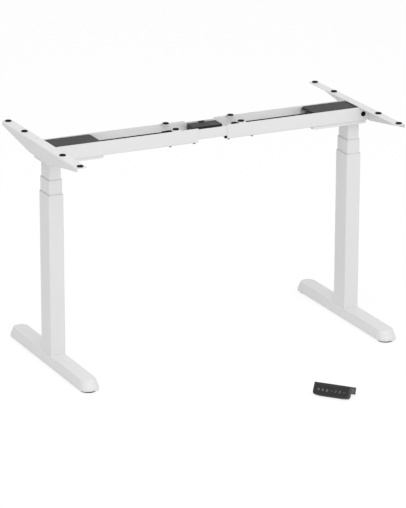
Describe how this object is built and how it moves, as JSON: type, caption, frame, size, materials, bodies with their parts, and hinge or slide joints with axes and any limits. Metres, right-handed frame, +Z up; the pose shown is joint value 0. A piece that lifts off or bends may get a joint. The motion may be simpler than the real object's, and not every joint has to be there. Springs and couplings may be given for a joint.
{
  "type": "standing desk frame",
  "caption": "Height-adjustable desk frame: two T feet with three-stage lifting columns, width-adjustable beam, side brackets, control box and touch keypad.",
  "frame": {"origin": "on the floor, midway between the two columns", "axes": "+X along the beam to the right, +Y to the back, +Z up"},
  "size_m": [1.351, 1.192, 0.87],
  "materials": {
    "white_paint": "satin powder coat",
    "dark_paint": "fine matt texture",
    "bright_steel": "zinc plated",
    "cast_alloy": "die cast",
    "black_rubber": "matt",
    "black_plastic": "matt",
    "guide_plastic": "matt",
    "dark_plastic": "fine texture",
    "gloss_panel": "polished",
    "board_green": "lacquered"
  },
  "bodies": {
    "left_base": {"left_foot": "white_paint", "left_foot_bolts": "bright_steel", "left_outer_column": "white_paint", "left_outer_guide": "guide_plastic", "left_base_screw": "bright_steel", "keypad_housing": "dark_plastic", "keypad_plate": "dark_paint", "keypad_panel": "gloss_panel", "keypad_port": "bright_steel", "keypad_screw": "bright_steel"},
    "left_front_pad": {"left_front_glide": "black_plastic"},
    "left_rear_pad": {"left_rear_glide": "black_plastic"},
    "left_middle": {"left_middle_column": "white_paint", "left_middle_guides": "guide_plastic"},
    "left_screw": {"left_hollow_screw": "bright_steel"},
    "left_top": {"left_inner_column": "white_paint", "left_inner_guide": "guide_plastic", "left_head": "white_paint", "left_gearbox": "cast_alloy", "left_motor": "dark_paint", "left_motor_cover": "dark_paint", "left_motor_cable": "black_plastic", "left_rail": "white_paint", "left_rail_pads": "black_rubber", "left_bracket": "white_paint", "left_bracket_pads": "black_rubber", "left_bracket_screws": "bright_steel", "left_head_bolts": "black_plastic", "left_clamp_screws": "bright_steel"},
    "left_shaft": {"left_drive_shaft": "bright_steel"},
    "right_base": {"right_foot": "white_paint", "right_foot_bolts": "bright_steel", "right_outer_column": "white_paint", "right_outer_guide": "guide_plastic", "right_base_screw": "bright_steel"},
    "right_front_pad": {"right_front_glide": "black_plastic"},
    "right_rear_pad": {"right_rear_glide": "black_plastic"},
    "right_middle": {"right_middle_column": "white_paint", "right_middle_guides": "guide_plastic"},
    "right_screw": {"right_hollow_screw": "bright_steel"},
    "right_top": {"right_inner_column": "white_paint", "right_inner_guide": "guide_plastic", "right_head": "white_paint", "right_gearbox": "cast_alloy", "right_motor": "dark_paint", "right_motor_cover": "dark_paint", "right_motor_cable": "black_plastic", "right_rail": "white_paint", "right_rail_pads": "black_rubber", "right_bracket": "white_paint", "right_bracket_pads": "black_rubber", "right_bracket_screws": "bright_steel", "right_head_bolts": "black_plastic", "right_clamp_screws": "bright_steel"},
    "right_shaft": {"right_drive_shaft": "bright_steel"},
    "centre": {"centre_rail": "white_paint", "centre_stop_screw": "black_plastic", "control_box": "dark_plastic", "control_lid": "dark_plastic", "control_board": "board_green"}
  },
  "joints": [
    {"name": "lift", "type": "slide", "parent": "left_base", "child": "left_middle", "axis": [0, 0, 1], "range_m": [-0.046, 0.2]},
    {"name": "left_stage", "type": "slide", "parent": "left_middle", "child": "left_top", "axis": [0, 0, 1], "range_m": [-0.046, 0.2]},
    {"name": "left_width", "type": "slide", "parent": "left_top", "child": "centre", "axis": [1, 0, 0], "range_m": [0, 0.2]},
    {"name": "right_width", "type": "slide", "parent": "centre", "child": "right_top", "axis": [1, 0, 0], "range_m": [0, 0.2]},
    {"name": "right_stage", "type": "slide", "parent": "right_top", "child": "right_middle", "axis": [0, 0, -1], "range_m": [-0.046, 0.2]},
    {"name": "right_lift", "type": "slide", "parent": "right_middle", "child": "right_base", "axis": [0, 0, -1], "range_m": [-0.046, 0.2]},
    {"name": "left_screw_turn", "type": "hinge", "parent": "left_middle", "child": "left_screw", "pos_m": [-0.626, 0, 0.4], "axis": [0, 0, 1], "continuous": true},
    {"name": "left_shaft_turn", "type": "hinge", "parent": "left_top", "child": "left_shaft", "pos_m": [-0.626, 0, 0.7], "axis": [0, 0, 1], "continuous": true},
    {"name": "left_front_level", "type": "slide", "parent": "left_base", "child": "left_front_pad", "axis": [0, 0, -1], "range_m": [0, 0.012]},
    {"name": "left_rear_level", "type": "slide", "parent": "left_base", "child": "left_rear_pad", "axis": [0, 0, -1], "range_m": [0, 0.012]},
    {"name": "right_screw_turn", "type": "hinge", "parent": "right_middle", "child": "right_screw", "pos_m": [0.626, 0, 0.4], "axis": [0, 0, 1], "continuous": true},
    {"name": "right_shaft_turn", "type": "hinge", "parent": "right_top", "child": "right_shaft", "pos_m": [0.626, 0, 0.7], "axis": [0, 0, 1], "continuous": true},
    {"name": "right_front_level", "type": "slide", "parent": "right_base", "child": "right_front_pad", "axis": [0, 0, -1], "range_m": [0, 0.012]},
    {"name": "right_rear_level", "type": "slide", "parent": "right_base", "child": "right_rear_pad", "axis": [0, 0, -1], "range_m": [0, 0.012]}
  ],
  "couplings": [
    {"joint": "left_stage", "follows": "lift", "ratio": 1},
    {"joint": "right_stage", "follows": "lift", "ratio": 1},
    {"joint": "right_lift", "follows": "lift", "ratio": 1},
    {"joint": "left_screw_turn", "follows": "lift", "rad_per_m": 392.7},
    {"joint": "left_shaft_turn", "follows": "lift", "rad_per_m": 392.7},
    {"joint": "right_screw_turn", "follows": "lift", "rad_per_m": 392.7},
    {"joint": "right_shaft_turn", "follows": "lift", "rad_per_m": 392.7}
  ]
}
